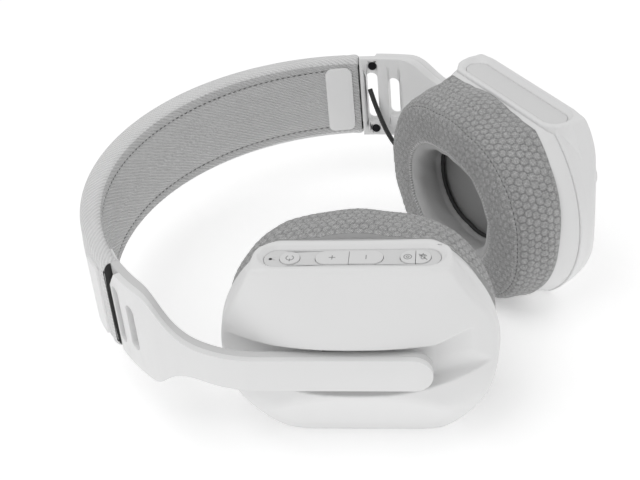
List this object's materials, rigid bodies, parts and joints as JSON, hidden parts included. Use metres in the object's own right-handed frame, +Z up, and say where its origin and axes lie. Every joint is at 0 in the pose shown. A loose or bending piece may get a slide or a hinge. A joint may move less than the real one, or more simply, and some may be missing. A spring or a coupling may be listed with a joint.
{
  "type": "gaming headset",
  "caption": "White wireless over-ear gaming headset with a ribbed fabric headband, slotted adjustable arms, soft honeycomb-fabric ear pads and rear edge controls.",
  "frame": {"origin": "centre of the headset's bounding box, on the surface it lies on: the front edges of both ear cups", "axes": "+Z up, towards the back of the wearer's head; +Y towards the crown of the headband; +X to the wearer's right"},
  "size_m": [0.1964, 0.1866, 0.078],
  "materials": {
    "white_shell": "satin",
    "white_arm": "satin",
    "grey_panel": "satin",
    "button_grey": "satin",
    "sleeve_fabric": "matte",
    "pad_fabric": "matte",
    "pad_foam": "matte",
    "acoustic_cloth": "matte",
    "black_plastic": "satin",
    "black_rubber": "satin",
    "black_steel": "satin",
    "spring_steel": "satin",
    "steel": "satin",
    "nylon": "satin",
    "circuit_board": "satin",
    "battery_wrap": "satin",
    "film": "gloss",
    "light_guide": "gloss"
  },
  "bodies": {
    "headband": {"headband_sleeve": "sleeve_fabric", "headband_spring_strip": "spring_steel", "headband_cushion_foam": "pad_foam", "headband_top_foam": "pad_foam", "left_clamp_plate_inner": "white_arm", "left_clamp_plate_outer": "white_arm", "left_arm_frame": "white_arm", "left_arm_cover": "white_arm", "left_arm_screws": "black_steel", "left_audio_wire": "black_rubber", "right_clamp_plate_inner": "white_arm", "right_clamp_plate_outer": "white_arm", "right_arm_frame": "white_arm", "right_arm_cover": "white_arm", "right_arm_screws": "black_steel", "right_audio_wire": "black_rubber"},
    "left_slider": {"left_slider_carriage": "nylon"},
    "left_gimbal": {"left_gimbal": "nylon", "left_tilt_pin": "steel"},
    "left_cup": {"left_outer_cover": "white_shell", "left_inner_housing": "white_shell", "left_baffle": "black_plastic", "left_driver_frame": "black_plastic", "left_driver_magnet": "steel", "left_driver_diaphragm": "film", "left_pad_ring": "black_plastic", "left_acoustic_cloth": "acoustic_cloth", "left_ear_pad": "pad_fabric", "left_pivot_bracket": "nylon", "left_bracket_screws": "steel", "left_wire_grommet": "black_rubber", "left_control_panel": "grey_panel", "status_light": "light_guide", "button_board": "circuit_board", "main_board": "circuit_board", "microphone": "steel", "charging_socket": "steel"},
    "power_button": {"power_button": "button_grey"},
    "volume_up_button": {"volume_up_button": "button_grey"},
    "volume_down_button": {"volume_down_button": "button_grey"},
    "mode_button": {"mode_button": "button_grey"},
    "mic_mute_button": {"mic_mute_button": "button_grey"},
    "right_slider": {"right_slider_carriage": "nylon"},
    "right_gimbal": {"right_gimbal": "nylon", "right_tilt_pin": "steel"},
    "right_cup": {"right_outer_cover": "white_shell", "right_inner_housing": "white_shell", "right_baffle": "black_plastic", "right_driver_frame": "black_plastic", "right_driver_magnet": "steel", "right_driver_diaphragm": "film", "right_pad_ring": "black_plastic", "right_acoustic_cloth": "acoustic_cloth", "right_ear_pad": "pad_fabric", "right_pivot_bracket": "nylon", "right_bracket_screws": "steel", "right_wire_grommet": "black_rubber", "right_rear_panel": "grey_panel", "battery": "battery_wrap"}
  },
  "joints": [
    {"name": "left_size_slide", "type": "slide", "parent": "headband", "child": "left_slider", "axis": [0.4602, -0.8878, 0], "range_m": [0, 0.022], "deforming": ["left_audio_wire"]},
    {"name": "left_cup_tilt", "type": "hinge", "parent": "left_slider", "child": "left_gimbal", "pos_m": [-0.06682, -0.0445, 0.0431], "axis": [0, 0, 1], "range_deg": [-5, 5]},
    {"name": "left_cup_swivel", "type": "hinge", "parent": "left_gimbal", "child": "left_cup", "pos_m": [-0.06682, -0.0445, 0.0431], "axis": [0.4602, -0.8878, 0], "range_deg": [-5, 5]},
    {"name": "right_size_slide", "type": "slide", "parent": "headband", "child": "right_slider", "axis": [-0.4602, -0.8878, 0], "range_m": [0, 0.022], "deforming": ["right_audio_wire"]},
    {"name": "right_cup_tilt", "type": "hinge", "parent": "right_slider", "child": "right_gimbal", "pos_m": [0.06682, -0.0445, 0.0431], "axis": [0, 0, 1], "range_deg": [-5, 5]},
    {"name": "right_cup_swivel", "type": "hinge", "parent": "right_gimbal", "child": "right_cup", "pos_m": [0.06682, -0.0445, 0.0431], "axis": [-0.4602, -0.8878, 0], "range_deg": [-5, 5]},
    {"name": "power_button_press", "type": "slide", "parent": "left_cup", "child": "power_button", "axis": [0, 0, -1], "range_m": [0, 0.0008], "stiffness_N_per_m": 1500},
    {"name": "volume_up_button_press", "type": "slide", "parent": "left_cup", "child": "volume_up_button", "axis": [0, 0, -1], "range_m": [0, 0.0008], "stiffness_N_per_m": 1500},
    {"name": "volume_down_button_press", "type": "slide", "parent": "left_cup", "child": "volume_down_button", "axis": [0, 0, -1], "range_m": [0, 0.0008], "stiffness_N_per_m": 1500},
    {"name": "mode_button_press", "type": "slide", "parent": "left_cup", "child": "mode_button", "axis": [0, 0, -1], "range_m": [0, 0.0008], "stiffness_N_per_m": 1500},
    {"name": "mic_mute_button_press", "type": "slide", "parent": "left_cup", "child": "mic_mute_button", "axis": [0, 0, -1], "range_m": [0, 0.0008], "stiffness_N_per_m": 1500}
  ]
}
